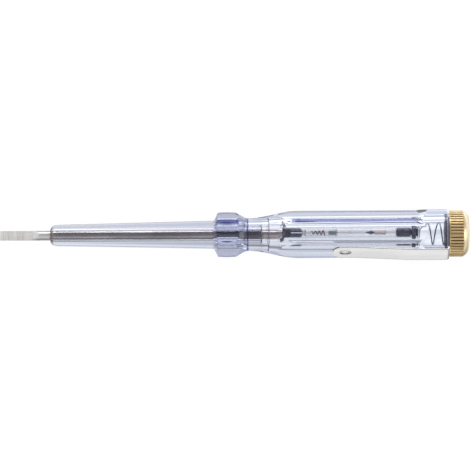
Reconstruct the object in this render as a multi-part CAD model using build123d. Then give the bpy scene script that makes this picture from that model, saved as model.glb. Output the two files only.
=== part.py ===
from build123d import *
import math
import os

# A neon voltage tester in the form of a small screwdriver, in millimetres.
# Each piece is made about the tool's own axis, X, with the blade's tip at zero.
# The finished pieces are then moved so that the origin is the bottom centre of
# the whole tool, which lies with a flat of its grip facing down, clip towards -Y.

# Blade and shaft
shaft_radius = 1.45
shaft_showing = 15.0
blade_width = 2.8
blade_tip_thickness = 0.6
blade_root_thickness = 1.1
blade_flat_length = 7.2
blade_runout_length = 4.3

# Clear tapered sleeve over the shaft, with a tail that goes into the grip
sleeve_length = 48.8
sleeve_front_radius = 3.2
sleeve_rear_radius = 4.2
sleeve_nose_length = 2.0
sleeve_nose_radius = 2.15
sleeve_tail_radius = 2.9
sleeve_tail_length = 14.5
shaft_gap = 0.06
tail_gap = 0.05

# Finger guard at the front of the grip
flat_count = 6
guard_cone_length = 1.2
guard_length = 5.4
guard_radius = 6.72
guard_edge_radius = 6.58
guard_across_flats = 12.0
guard_back_length = 3.9
guard_back_cone_share = 0.46
guard_back_radius = 5.55

# Grip
neck_radius = 4.86
flare_length = 14.7
flare_middle_share = 0.43
flare_rise_share = 0.41
flare_slope_share = 1.5
barrel_radius = 7.08
barrel_length = 33.4
across_flats = 12.5
end_swell_length = 6.0
end_radius = 7.3
end_length = 4.9
end_bevel = 0.3
flat_overrun = 1.8
flat_runout_radius = 11.0

# Bore of the grip, drafted for moulding, and the neck that the cap screws on
bore_front_radius = 3.4
bore_rear_radius = 3.95
bore_step_length = 2.1
cap_neck_radius = 5.25
cap_neck_length = 4.3

# The loose inner pieces lie together against the wall of the bore
train_side = 0.35
train_drop = 0.35

# Dished contact against the shaft's end
dish_distance = 3.85
dish_radius = 2.85
dish_hub_radius = 2.2
dish_rim_wall = 0.25
dish_floor_depth = 0.55
dish_cone_length = 0.85
dish_length = 1.95

# Lamp cartridge: a clear tube between two metal ferrules
tube_radius = 2.15
tube_wall = 0.3
tube_length = 28.85
ferrule_front_length = 3.45
ferrule_rear_length = 4.0
ferrule_spigot_length = 0.4
ferrule_bevel = 0.15
ferrule_groove_share = 0.6
ferrule_groove_width = 0.4
ferrule_groove_depth = 0.2
ferrule_slot_width = 0.5
ferrule_slot_share = 0.85
spigot_gap = 0.03

# Neon lamp and its leads
lamp_front_gap = 0.55
lamp_radius = 1.65
lamp_length = 10.3
lamp_wall = 0.25
lamp_seal_length = 0.6
lamp_shoulder_bevel = 0.4
lamp_end_bevel = 0.2
pip_length = 4.3
pip_neck_radius = 0.6
pip_radius = 1.0
pip_tip_radius = 0.35
pip_swell_share = 0.4
lead_radius = 0.13
lead_spacing = 0.7
lead_reach = 2.6

# Wound front electrode and cup-shaped rear electrode
wire_radius = 0.14
winding_turns = 3.5
winding_length = 3.9
winding_front_radius = 0.5
winding_rear_radius = 1.1
winding_sides = 5
cup_radius = 0.85
cup_length = 2.3
cup_wall = 0.18
cup_gap = 0.05

# Series resistor, and the solder cone that joins it to the lamp's rear lead. The
# share is how much of the bare wire is in front of the solder cone.
bare_wire_share = 0.5833
solder_length = 2.6
solder_radius = 0.85
solder_neck_radius = 0.45
solder_cone_share = 0.73
solder_shoulder_share = 0.85
resistor_length = 3.5
resistor_radius = 0.85
resistor_waist_radius = 0.74
resistor_end_bevel = 0.25

# Spring seat behind the cartridge
seat_nub_radius = 1.4
seat_nub_length = 0.3
seat_flange_radius = 3.15
seat_flange_length = 1.15
seat_boss_radius = 1.9
seat_boss_length = 1.1
seat_bevel = 0.15

# Coil spring between the seat and the cap
spring_wire_radius = 0.2
spring_front_radius = 2.5
spring_rear_radius = 3.3
spring_front_turns = 1.5
spring_front_pitch = 1.05
spring_widening_turns = 1.0
spring_open_turns = 3.5
spring_rear_turns = 1.25
spring_rear_pitch = 0.95
spring_seat_gap = 0.05
spring_sides = 6
quarters = 4

# Spring clip: a ring under the cap and an arm along one flat
clip_sheet = 0.55
clip_ring_radius = 6.9
clip_ring_gap = 0.08
clip_turn_degrees = 60.0
arm_sheet = 0.4
arm_width = 5.3
arm_length = 34.2
arm_tip_length = 5.9
arm_slope_length = 18.0
arm_clearance = 0.1
arm_tip_clearance = 0.21
dimple_radius = 1.45
dimple_floor_share = 0.6
dimple_depth = 0.16
dimple_distance = 3.75

# Knurled brass cap
cap_radius = 6.9
cap_length = 6.15
cap_thread_gap = 0.05
cap_cavity_length = 4.75
cap_face_radius = 3.9
cap_dome_length = 2.1
cap_dome_radius = 5.75
cap_dome_share = 0.7
knurl_rim = 0.35
knurl_length = 3.6
knurl_count = 44
knurl_depth = 0.3
knurl_width = 0.36

# How far a cutting shape runs past what it cuts
overrun = 2.0

# Places along the axis, each from the one in front of it
guard_front = shaft_showing + sleeve_length
guard_cone_end = guard_front + guard_cone_length
guard_rear = guard_cone_end + guard_length
neck_start = guard_rear + guard_back_length
flare_end = neck_start + flare_length
swell_start = flare_end + barrel_length
swell_end = swell_start + end_swell_length
grip_rear = swell_end + end_length
cap_front = grip_rear + clip_sheet
cap_rear = cap_front + cap_length
cavity_end = cap_front + cap_cavity_length
tail_rear = guard_front + sleeve_tail_length
bore_front = tail_rear + bore_step_length
dish_front = bore_front + dish_distance
shaft_end = dish_front + dish_floor_depth
ferrule_front = dish_front + dish_length
tube_front = ferrule_front + ferrule_front_length
tube_rear = tube_front + tube_length
lamp_front = tube_front + lamp_front_gap
lamp_rear = lamp_front + lamp_length
pip_rear = lamp_rear + pip_length
spigot_end = tube_rear - ferrule_spigot_length
bare_wire = spigot_end - pip_rear - solder_length - resistor_length
solder_front = pip_rear + bare_wire * bare_wire_share
resistor_front = solder_front + solder_length
resistor_rear = resistor_front + resistor_length
seat_front = tube_rear + ferrule_rear_length
seat_face = seat_front + seat_nub_length + seat_flange_length

# Heights of the flats, and of the clip's arm over its own flat
guard_flat = guard_across_flats / 2
grip_flat = across_flats / 2
arm_rear_height = end_radius + arm_clearance
arm_tip_height = grip_flat + arm_tip_clearance


def turned(*edges):
    """A solid of revolution about the axis, from the edges of an outline of x and radius."""
    return revolve(make_face(list(edges)), Axis.X)


def rod(front, rear, radius, side=0):
    """A round rod along the axis, moved sideways when it isn't on the axis."""
    section = Plane((front, side, 0), z_dir=(1, 0, 0)) * Circle(radius)
    return extrude(section, rear - front)


def standing(outline, half_width):
    """A profile of x and height, thickened to both sides of the tool's middle plane."""
    return extrude(Plane.XZ * make_face(outline), half_width, both=True)


def around(shape, count):
    """Copies of a shape, evenly spaced about the axis."""
    return [Rot(360 * i / count, 0, 0) * shape for i in range(count)]


def curve_between(start, start_way, end, end_way):
    """Two arcs that leave start and reach end in the given directions."""
    span = end - start
    ways = start_way + end_way
    a = 2 * (start_way.dot(end_way) - 1)
    b = -2 * span.dot(ways)
    reach = (-b - math.sqrt(b * b - 4 * a * span.dot(span))) / (2 * a)
    start_tip = start + start_way * reach
    end_tip = end - end_way * reach
    joint = (start_tip + end_tip) * 0.5
    return [TangentArc(start, joint, tangent=start_way),
            TangentArc(joint, end, tangent=end_tip - start_tip)]


def wound_wire(place, turns, radius, sides):
    """One unbroken wire along a winding, whose centre line is place(turn)."""
    steps = round(turns * quarters)
    eighth = 1 / (2 * quarters)
    points = [place(i / quarters) for i in range(steps + 1)]
    ways = [(place(i / quarters + eighth) - place(i / quarters - eighth)).normalized()
            for i in range(steps + 1)]
    edges = [Line(points[0] - ways[0] * 2 * radius, points[0])]
    for i in range(steps):
        edges += curve_between(points[i], ways[i], points[i + 1], ways[i + 1])
    edges.append(Line(points[-1], points[-1] + ways[-1] * 2 * radius))
    section = Plane(edges[0] @ 0, z_dir=ways[0]) * RegularPolygon(radius, sides)
    return sweep(section, path=Wire(edges), clean=False)


def least_gap(place, turns, radius):
    """The least clear distance between two turns of a winding, measured on points."""
    per_turn = 48
    points = [place(i / per_turn) for i in range(round(turns * per_turn) + 1)]
    return min((points[j] - points[i]).length
               for i in range(len(points))
               for j in range(i + per_turn // 2, len(points))) - 2 * radius


def along(turn, *stretches):
    """The advance at a turn of a winding made of stretches of turns and pitch."""
    total = 0
    for turns, pitch in stretches:
        part = min(max(turn, 0), turns)
        total += part * pitch
        turn -= part
    return total + turn * stretches[-1][1]


def make_blade_shaft():
    """A round shaft, ground to a flat blade whose faces curve out into the round."""
    shaft = rod(0, shaft_end, shaft_radius)
    tip = blade_tip_thickness / 2
    root = blade_root_thickness / 2
    runout_end = blade_flat_length + blade_runout_length
    flat = Line((-overrun, tip), (0, tip)) + Line((0, tip), (blade_flat_length, root))
    runout = TangentArc((blade_flat_length, root), (runout_end, shaft_radius),
                        tangent=(blade_flat_length, root - tip))
    back = Polyline((runout_end, shaft_radius), (runout_end, shaft_radius + overrun),
                    (-overrun, shaft_radius + overrun), (-overrun, tip))
    face_cut = standing([*flat.edges(), *runout.edges(), *back.edges()], shaft_radius + overrun)
    side_cut = Box(blade_flat_length + overrun, overrun, 2 * shaft_radius,
                   align=(Align.MAX, Align.MIN, Align.CENTER))
    side_cut = Pos(blade_flat_length, blade_width / 2, 0) * side_cut
    return shaft - [face_cut, mirror(face_cut, Plane.XY), side_cut, mirror(side_cut, Plane.XZ)]


def make_shaft_sleeve():
    """The clear tapered sleeve with a rounded nose, and the tail that the grip holds."""
    bore = shaft_radius + shaft_gap
    nose_end = shaft_showing + sleeve_nose_length
    return turned(
        *Polyline((tail_rear, bore), (shaft_showing, bore),
                  (shaft_showing, sleeve_nose_radius)).edges(),
        Spline((shaft_showing, sleeve_nose_radius), (nose_end, sleeve_front_radius),
               tangents=[(0, 1), (1, 0)]),
        *Polyline((nose_end, sleeve_front_radius), (guard_front, sleeve_rear_radius),
                  (guard_front, sleeve_tail_radius), (tail_rear, sleeve_tail_radius),
                  (tail_rear, bore)).edges())


def grip_outline():
    """The grip's outer outline, from the guard's front to the neck under the cap."""
    cone_end = guard_rear + guard_back_length * guard_back_cone_share
    back_fall = (guard_edge_radius - guard_back_radius) / (cone_end - guard_rear)
    flare_rise = barrel_radius - neck_radius
    flare_middle = (neck_start + flare_length * flare_middle_share,
                    neck_radius + flare_rise * flare_rise_share)
    flare_way = (flare_length, flare_rise * flare_slope_share)
    cap_neck_rear = grip_rear + cap_neck_length
    return [
        Line((guard_front, sleeve_rear_radius), (guard_cone_end, guard_edge_radius)),
        Spline((guard_cone_end, guard_edge_radius),
               (guard_cone_end + guard_length / 2, guard_radius),
               (guard_rear, guard_edge_radius)),
        Line((guard_rear, guard_edge_radius), (cone_end, guard_back_radius)),
        Spline((cone_end, guard_back_radius), (neck_start, neck_radius),
               tangents=[(1, -back_fall), (1, 0)]),
        Spline((neck_start, neck_radius), flare_middle, tangents=[(1, 0), flare_way]),
        Spline(flare_middle, (flare_end, barrel_radius), tangents=[flare_way, (1, 0)]),
        *Polyline((flare_end, barrel_radius), (swell_start, barrel_radius),
                  (swell_end, end_radius), (grip_rear - end_bevel, end_radius),
                  (grip_rear, end_radius - end_bevel), (grip_rear, cap_neck_radius),
                  (cap_neck_rear, cap_neck_radius)).edges(),
    ]


def make_grip():
    """The clear grip: a turned body with a guard, six moulded flats and a drafted bore."""
    cap_neck_rear = grip_rear + cap_neck_length
    tail_bore = sleeve_tail_radius + tail_gap
    body = turned(
        *grip_outline(),
        *Polyline((cap_neck_rear, cap_neck_radius), (cap_neck_rear, bore_rear_radius),
                  (bore_front, bore_front_radius), (bore_front, tail_bore),
                  (guard_front, tail_bore), (guard_front, sleeve_rear_radius)).edges())
    flat_rear = swell_start + flat_overrun
    top = end_radius + overrun
    rise = top - grip_flat
    runout_end = flat_rear + math.sqrt(rise * (2 * flat_runout_radius - rise))
    flat_cut = standing(
        [*Polyline((flat_rear, grip_flat), (neck_start, grip_flat), (neck_start, guard_flat),
                   (guard_front - overrun, guard_flat), (guard_front - overrun, top),
                   (runout_end, top)).edges(),
         TangentArc((flat_rear, grip_flat), (runout_end, top), tangent=(1, 0))],
        barrel_radius)
    return body - around(flat_cut, flat_count)


def make_contact_dish():
    """The dished contact that the shaft's end presses into."""
    cone_end = dish_front + dish_cone_length
    floor = dish_front + dish_floor_depth
    return turned(*Polyline(
        (floor, 0), (floor, dish_hub_radius - dish_rim_wall),
        (dish_front, dish_radius - dish_rim_wall), (dish_front, dish_radius),
        (cone_end, dish_hub_radius), (ferrule_front, dish_hub_radius), (ferrule_front, 0),
        close=True).edges())


def make_ferrule(outer_end, tube_end):
    """A metal end cap of the cartridge, with a spigot inside the tube and a rolled groove."""
    way = math.copysign(1, tube_end - outer_end)
    spigot_radius = tube_radius - tube_wall - spigot_gap
    groove = outer_end + (tube_end - outer_end) * ferrule_groove_share
    groove_start = groove - way * ferrule_groove_width / 2
    groove_end = groove + way * ferrule_groove_width / 2
    groove_floor = tube_radius - ferrule_groove_depth
    spigot_end = tube_end + way * ferrule_spigot_length
    return turned(*Polyline(
        (outer_end, 0), (outer_end, tube_radius - ferrule_bevel),
        (outer_end + way * ferrule_bevel, tube_radius), (groove_start, tube_radius),
        (groove, groove_floor), (groove_end, tube_radius), (tube_end, tube_radius),
        (tube_end, spigot_radius), (spigot_end, spigot_radius), (spigot_end, 0),
        close=True).edges())


def make_front_ferrule():
    """The front ferrule, split along its length into two prongs behind its face."""
    rear = tube_front + ferrule_spigot_length
    length = (rear - ferrule_front) * ferrule_slot_share
    slot = Box(length + overrun, ferrule_slot_width, 2 * tube_radius + overrun,
               align=(Align.MIN, Align.CENTER, Align.CENTER))
    return make_ferrule(ferrule_front, tube_front) - Pos(rear - length, 0, 0) * slot


def make_cartridge_tube():
    """The clear tube that holds the lamp and the resistor."""
    return rod(tube_front, tube_rear, tube_radius) - rod(tube_front, tube_rear,
                                                        tube_radius - tube_wall)


def make_front_leads():
    """Two lead wires from the front ferrule through the lamp's seal."""
    front = tube_front + ferrule_spigot_length
    rear = lamp_front + lead_reach
    return Compound([rod(front, rear, lead_radius, side)
                     for side in (-lead_spacing / 2, lead_spacing / 2)])


def make_rear_lead():
    """The lead from the rear electrode, out through the pip, to the solder cone."""
    cup_rear = lamp_rear - lamp_wall - cup_gap
    return rod(cup_rear, solder_front, lead_radius)


def make_lamp_glass(leads):
    """The lamp's glass: a sealed tube that ends in a pinched-off pip, round its leads."""
    glass = turned(
        *Polyline((pip_rear, 0), (lamp_front, 0), (lamp_front, lamp_radius - lamp_shoulder_bevel),
                  (lamp_front + lamp_shoulder_bevel, lamp_radius),
                  (lamp_rear - lamp_end_bevel, lamp_radius),
                  (lamp_rear, lamp_radius - lamp_end_bevel),
                  (lamp_rear, pip_neck_radius)).edges(),
        Spline((lamp_rear, pip_neck_radius),
               (lamp_rear + pip_length * pip_swell_share, pip_radius),
               (pip_rear, pip_tip_radius)),
        Line((pip_rear, pip_tip_radius), (pip_rear, 0)))
    inside = rod(lamp_front + lamp_seal_length, lamp_rear - lamp_wall, lamp_radius - lamp_wall)
    return glass - [inside, *leads]


def winding_place(turn):
    """The centre line of the wound front electrode, which widens to the rear."""
    share = turn / winding_turns
    radius = winding_front_radius + (winding_rear_radius - winding_front_radius) * share
    start = lamp_front + lead_reach + wire_radius + spigot_gap
    angle = math.tau * turn
    return Vector(start + winding_length * share,
                  radius * math.cos(angle), radius * math.sin(angle))


def make_rear_electrode():
    """A small metal cup, open towards the wound electrode."""
    rear = lamp_rear - lamp_wall - cup_gap
    front = rear - cup_length
    return rod(front, rear, cup_radius) - rod(front, rear - cup_wall, cup_radius - cup_wall)


def make_solder_cone():
    """The solder that joins the lamp's rear lead and the resistor, drawn to a point."""
    cone = solder_front + solder_length * solder_cone_share
    shoulder = solder_front + solder_length * solder_shoulder_share
    return turned(*Polyline(
        (solder_front, 0), (solder_front, lead_radius), (cone, solder_radius),
        (shoulder, solder_neck_radius), (resistor_front, solder_neck_radius),
        (resistor_front, 0), close=True).edges())


def make_resistor():
    """A lacquered resistor body, thicker over the caps at its two ends."""
    edge = resistor_radius - resistor_end_bevel
    front = resistor_front + resistor_end_bevel
    rear = resistor_rear - resistor_end_bevel
    middle = (front + rear) / 2
    return turned(*Polyline(
        (resistor_front, 0), (resistor_front, edge), (front, resistor_radius),
        (middle, resistor_waist_radius), (rear, resistor_radius), (resistor_rear, edge),
        (resistor_rear, 0), close=True).edges())


def make_resistor_lead():
    """The resistor's rear lead, to the rear ferrule."""
    return rod(resistor_rear, spigot_end, lead_radius)


def make_spring_seat():
    """The flanged contact between the cartridge and the spring, with a boss for the coil."""
    flange_front = seat_front + seat_nub_length
    boss_rear = seat_face + seat_boss_length
    return turned(*Polyline(
        (seat_front, 0), (seat_front, seat_nub_radius), (flange_front, seat_nub_radius),
        (flange_front, seat_flange_radius - seat_bevel),
        (flange_front + seat_bevel, seat_flange_radius),
        (seat_face - seat_bevel, seat_flange_radius),
        (seat_face, seat_flange_radius - seat_bevel), (seat_face, seat_boss_radius),
        (boss_rear - seat_bevel, seat_boss_radius), (boss_rear, seat_boss_radius - seat_bevel),
        (boss_rear, 0), close=True).edges())


spring_start = seat_face + spring_wire_radius + spring_seat_gap
spring_end = cavity_end - spring_wire_radius - spring_seat_gap
spring_turns = spring_front_turns + spring_open_turns + spring_rear_turns
spring_closed_length = (spring_front_turns * spring_front_pitch
                        + spring_rear_turns * spring_rear_pitch)
spring_open_pitch = (spring_end - spring_start - spring_closed_length) / spring_open_turns


def spring_place(turn):
    """The spring's centre line: close turns on the seat, wider open turns to the cap."""
    widening = min(max((turn - spring_front_turns) / spring_widening_turns, 0), 1)
    radius = spring_front_radius + (spring_rear_radius - spring_front_radius) * widening
    advance = along(turn, (spring_front_turns, spring_front_pitch),
                    (spring_open_turns, spring_open_pitch),
                    (spring_rear_turns, spring_rear_pitch))
    angle = math.tau * turn
    return Vector(spring_start + advance,
                  train_side * (1 - widening) + radius * math.cos(angle),
                  -train_drop * (1 - widening) + radius * math.sin(angle))


def make_clip_ring():
    """The clip's ring round the cap's neck, with the tab that the arm bends from."""
    height = arm_rear_height + arm_sheet
    ring = Circle(clip_ring_radius) + Pos(0, height / 2) * Rectangle(arm_width, height)
    ring -= Circle(cap_neck_radius + clip_ring_gap)
    return Rot(clip_turn_degrees, 0, 0) * extrude(Plane.YZ.offset(grip_rear) * ring, clip_sheet)


def dimple(height):
    """The room between a face of the arm and the flat dimple pressed down from it."""
    place = grip_rear - arm_length + dimple_distance
    floor = height - dimple_depth
    profile = make_face(Polyline(
        (place, height), (place + dimple_radius, height),
        (place + dimple_radius * dimple_floor_share, floor), (place, floor),
        close=True).edges())
    return revolve(Plane.XZ * profile, Axis((place, 0, 0), (0, 0, 1)))


def make_clip_arm():
    """The clip's arm: flat over the swollen end, sloping down to a round tip with a dimple."""
    tip = grip_rear - arm_length
    tip_end = tip + arm_tip_length
    slope_end = tip_end + arm_slope_length
    low = arm_tip_height
    high = arm_rear_height
    strip = standing(Polyline(
        (tip, low), (tip_end, low), (slope_end, high), (grip_rear, high),
        (grip_rear, high + arm_sheet), (slope_end, high + arm_sheet),
        (tip_end, low + arm_sheet), (tip, low + arm_sheet), close=True).edges(), arm_width / 2)
    half = arm_width / 2
    plan = Pos(tip + half, 0) * Circle(half)
    plan += Pos((tip + half + grip_rear) / 2, 0) * Rectangle(arm_length - half, arm_width)
    strip &= extrude(plan, high + arm_sheet + overrun)
    arm = strip + dimple(low) - dimple(low + arm_sheet)
    return Rot(clip_turn_degrees, 0, 0) * arm


def make_brass_cap():
    """The domed cap with a straight knurl round its side."""
    thread_radius = cap_neck_radius + cap_thread_gap
    dome_start = cap_rear - cap_dome_length
    cap = turned(
        *Polyline((cavity_end, 0), (cavity_end, thread_radius), (cap_front, thread_radius),
                  (cap_front, cap_radius), (dome_start, cap_radius)).edges(),
        Spline((dome_start, cap_radius),
               (dome_start + cap_dome_length * cap_dome_share, cap_dome_radius),
               (cap_rear, cap_face_radius)),
        *Polyline((cap_rear, cap_face_radius), (cap_rear, 0), (cavity_end, 0)).edges())
    half = knurl_width / 2
    top = cap_radius + overrun
    groove = make_face(Polyline((0, cap_radius - knurl_depth), (half, cap_radius), (half, top),
                                (-half, top), (-half, cap_radius), close=True).edges())
    groove = extrude(Plane.YZ.offset(cap_front + knurl_rim) * groove, knurl_length)
    return cap - around(groove, knurl_count)


def make_pieces():
    """Every piece by name, about the tool's own axis."""
    train = Pos(0, train_side, -train_drop)
    leads = make_front_leads()
    rear_lead = make_rear_lead()
    glass = make_lamp_glass([*leads.solids(), *rear_lead.solids()])
    return {
        "blade_shaft": make_blade_shaft(),
        "shaft_sleeve": make_shaft_sleeve(),
        "grip": make_grip(),
        "contact_dish": train * make_contact_dish(),
        "front_ferrule": train * make_front_ferrule(),
        "cartridge_tube": train * make_cartridge_tube(),
        "rear_ferrule": train * make_ferrule(seat_front, tube_rear),
        "lamp_glass": train * glass,
        "lamp_front_leads": train * leads,
        "lamp_rear_lead": train * rear_lead,
        "front_electrode": train * wound_wire(winding_place, winding_turns, wire_radius,
                                              winding_sides),
        "rear_electrode": train * make_rear_electrode(),
        "solder_cone": train * make_solder_cone(),
        "resistor_body": train * make_resistor(),
        "resistor_lead": train * make_resistor_lead(),
        "spring_seat": train * make_spring_seat(),
        "coil_spring": wound_wire(spring_place, spring_turns, spring_wire_radius,
                                  spring_sides),
        "clip_ring": make_clip_ring(),
        "clip_arm": make_clip_arm(),
        "brass_cap": make_brass_cap(),
    }


def main():
    os.makedirs("parts", exist_ok=True)
    turn = math.radians(clip_turn_degrees)
    clip_reach = ((arm_rear_height + arm_sheet) * math.sin(turn)
                  + arm_width / 2 * math.cos(turn))
    rest = Pos(-cap_rear / 2, (clip_reach - end_radius) / 2, end_radius)
    for name, piece in make_pieces().items():
        export_step(rest * piece, f"parts/{name}.step")
    gap = least_gap(spring_place, spring_turns, spring_wire_radius)
    print(f"coil_spring: least gap to itself {gap:.2f} mm, open pitch {spring_open_pitch:.2f} mm")
    gap = least_gap(winding_place, winding_turns, wire_radius)
    print(f"front_electrode: least gap to itself {gap:.2f} mm")


main()
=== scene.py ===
import math

import bmesh
import bpy
from mathutils import Matrix, Vector


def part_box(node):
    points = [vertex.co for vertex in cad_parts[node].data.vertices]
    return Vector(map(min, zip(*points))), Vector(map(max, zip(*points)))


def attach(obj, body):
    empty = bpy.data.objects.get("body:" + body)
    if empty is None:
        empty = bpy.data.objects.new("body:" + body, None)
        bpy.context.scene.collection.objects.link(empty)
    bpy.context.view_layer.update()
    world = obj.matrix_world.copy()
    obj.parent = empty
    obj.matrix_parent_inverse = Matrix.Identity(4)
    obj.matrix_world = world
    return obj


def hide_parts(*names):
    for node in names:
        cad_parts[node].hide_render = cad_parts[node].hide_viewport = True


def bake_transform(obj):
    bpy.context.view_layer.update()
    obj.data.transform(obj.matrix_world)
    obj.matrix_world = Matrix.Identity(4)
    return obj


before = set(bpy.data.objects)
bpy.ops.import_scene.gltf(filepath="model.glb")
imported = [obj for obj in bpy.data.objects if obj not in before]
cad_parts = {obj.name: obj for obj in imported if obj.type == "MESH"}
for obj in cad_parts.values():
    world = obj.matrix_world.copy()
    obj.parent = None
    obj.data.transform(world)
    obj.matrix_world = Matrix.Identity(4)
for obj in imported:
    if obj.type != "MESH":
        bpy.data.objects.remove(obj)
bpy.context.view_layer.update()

# The tester's pieces are drawn about its own axis in millimetres, with the blade's
# tip at zero, and then set where the frame has them.
MM = 0.001
SHAFT_LOW, SHAFT_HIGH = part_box("blade_shaft")
AXIS_START = Vector((SHAFT_LOW.x, (SHAFT_LOW.y + SHAFT_HIGH.y) / 2,
                     (SHAFT_LOW.z + SHAFT_HIGH.z) / 2))


def ends(node):
    """Where a CAD node starts and ends along the axis, to a hundredth of a millimetre."""
    return [round((corner.x - AXIS_START.x) / MM, 2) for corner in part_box(node)]


PROBE_REAR = ends("blade_shaft")[1]
SLEEVE_FRONT, SLEEVE_REAR = ends("shaft_sleeve")
GRIP_FRONT, NECK_REAR = ends("grip")
DISH_FRONT, DISH_REAR = ends("contact_dish")
TUBE_FRONT, TUBE_REAR = ends("cartridge_tube")
CLIP_TIP, GRIP_REAR = ends("clip_arm")
CAP_FRONT, CAP_REAR = ends("brass_cap")
BLADE_END = 11.5
KNURL_FRONT, KNURL_REAR = 134.02, 138.12

# The cartridge and its contacts lie loose in the bore, a little off the axis.
TRAIN_Y, TRAIN_Z = 0.35, -0.35
# What is left free between two faces that would otherwise share a place.
TOUCH = 0.01
# Edges stay sharp from this angle on.
SHARP = math.radians(32)


# Meshes

def in_frame(point):
    """A point about the tool's axis in millimetres, as the frame has it."""
    return AXIS_START + Vector(point) * MM


def about_axis(x, radius, turn, y=0.0, z=0.0):
    """The point at a radius and a turn about a line along x."""
    return (x, y + radius * math.cos(turn), z + radius * math.sin(turn))


def clamp(value):
    """A number held between 0 and 1."""
    return min(max(value, 0.0), 1.0)


def eased(value):
    """A number between 0 and 1 that leaves 0 and reaches 1 without a kink."""
    return value * value * (3 - 2 * value)


def evenly(start, end, steps):
    """Evenly spaced numbers, both ends included."""
    return [start + (end - start) * i / steps for i in range(steps + 1)]


def in_scene(name, data):
    """A new object in the scene."""
    made = bpy.data.objects.new(name, data)
    bpy.context.scene.collection.objects.link(made)
    return made


def piece(name, points, faces, body, nodes, material):
    """A smooth-shaded mesh that stands for CAD nodes. It rides on a body, if one is given."""
    mesh = bpy.data.meshes.new(name)
    mesh.from_pydata([in_frame(p) for p in points], [], faces)
    work = bmesh.new()
    work.from_mesh(mesh)
    bmesh.ops.remove_doubles(work, verts=work.verts, dist=0.0002 * MM)
    bmesh.ops.dissolve_degenerate(work, edges=work.edges, dist=0.0001 * MM)
    bmesh.ops.recalc_face_normals(work, faces=work.faces)
    for face in work.faces:
        face.smooth = True
    work.to_mesh(mesh)
    work.free()
    mesh.set_sharp_from_angle(angle=SHARP)
    made = in_scene(name, mesh)
    mesh.materials.append(material)
    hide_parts(*nodes)
    if body:
        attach(made, body)
    return made


def lofted(rings, closed=False):
    """Points and faces through rings of as many points each. Open lofts end in flat faces."""
    count = len(rings[0])
    points = [p for ring in rings for p in ring]
    faces = []
    spans = len(rings) if closed else len(rings) - 1
    for i in range(spans):
        near = i * count
        far = (i + 1) % len(rings) * count
        for j in range(count):
            k = (j + 1) % count
            faces.append((near + j, near + k, far + k, far + j))
    if not closed:
        faces.append(tuple(range(count)))
        faces.append(tuple(range(len(points) - count, len(points))))
    return points, faces


def joined(*shapes):
    """Several sets of points and faces as one."""
    points, faces = [], []
    for more_points, more_faces in shapes:
        start = len(points)
        points += more_points
        faces += [tuple(i + start for i in face) for face in more_faces]
    return points, faces


def softened(outline, radius, steps=3):
    """An outline of x and radius with its inner corners rounded."""
    most_of_side = 0.45
    soft = [outline[0]]
    for before, corner, after in zip(outline, outline[1:], outline[2:]):
        a = Vector(before) - Vector(corner)
        b = Vector(after) - Vector(corner)
        reach = min(radius, a.length * most_of_side, b.length * most_of_side)
        start = Vector(corner) + a.normalized() * reach
        end = Vector(corner) + b.normalized() * reach
        for t in evenly(0, 1, steps):
            bend = start * (1 - t) ** 2 + Vector(corner) * 2 * t * (1 - t) + end * t ** 2
            soft.append(tuple(bend))
    soft.append(outline[-1])
    return soft


def turned(outline, around=96, y=0.0, z=0.0, closed=False):
    """Points and faces of an outline of x and radius, turned about a line along x."""
    rings = [[about_axis(x, r, math.tau * j / around, y, z) for j in range(around)]
             for x, r in outline]
    return lofted(rings, closed)


def inner_piece(name, outline, node, material, around=72, soft=0.06):
    """A turned piece of the loose train inside the grip."""
    points, faces = turned(softened(outline, soft), around, TRAIN_Y, TRAIN_Z)
    return piece(name, points, faces, "tester", [node], material)


def tube_along(path, radius, around=12):
    """A round wire along a path, with its rings kept from twisting."""
    rings = []
    side = None
    for i, point in enumerate(path):
        before = Vector(path[max(i - 1, 0)])
        after = Vector(path[min(i + 1, len(path) - 1)])
        way = (after - before).normalized()
        if side is None:
            side = way.orthogonal().normalized()
        side = (side - way * side.dot(way)).normalized()
        up = way.cross(side)
        ring = []
        for j in range(around):
            turn = math.tau * j / around
            ring.append(tuple(Vector(point) + side * radius * math.cos(turn)
                              + up * radius * math.sin(turn)))
        rings.append(ring)
    return lofted(rings)


def hermite(start, end, start_slope, end_slope, steps):
    """Points of x and height along a cubic with the given slopes at its ends."""
    (x0, y0), (x1, y1) = start, end
    span = x1 - x0
    made = []
    for t in evenly(0, 1, steps):
        levels = y0 * (2 * t ** 3 - 3 * t ** 2 + 1) + y1 * (3 * t ** 2 - 2 * t ** 3)
        slopes = start_slope * (t ** 3 - 2 * t ** 2 + t) + end_slope * (t ** 3 - t ** 2)
        made.append((x0 + span * t, levels + slopes * span))
    return made


def arc_through(start, middle, end, steps):
    """Points along the circle through three points."""
    (ax, ay), (bx, by), (cx, cy) = start, middle, end
    d = 2 * (ax * (by - cy) + bx * (cy - ay) + cx * (ay - by))
    ux = ((ax * ax + ay * ay) * (by - cy) + (bx * bx + by * by) * (cy - ay)
          + (cx * cx + cy * cy) * (ay - by)) / d
    uy = ((ax * ax + ay * ay) * (cx - bx) + (bx * bx + by * by) * (ax - cx)
          + (cx * cx + cy * cy) * (bx - ax)) / d
    radius = math.hypot(ax - ux, ay - uy)
    first = math.atan2(ay - uy, ax - ux)
    last = math.atan2(cy - uy, cx - ux)
    way = math.atan2(by - uy, bx - ux)
    turn = (last - first) % math.tau
    if (way - first) % math.tau > turn:
        turn -= math.tau
    return [(ux + radius * math.cos(angle), uy + radius * math.sin(angle))
            for angle in evenly(first, first + turn, steps)]


def spread(start, end, steps):
    """Evenly spaced points of a straight line, both ends included."""
    return list(zip(evenly(start[0], end[0], steps), evenly(start[1], end[1], steps)))


# Materials

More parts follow.
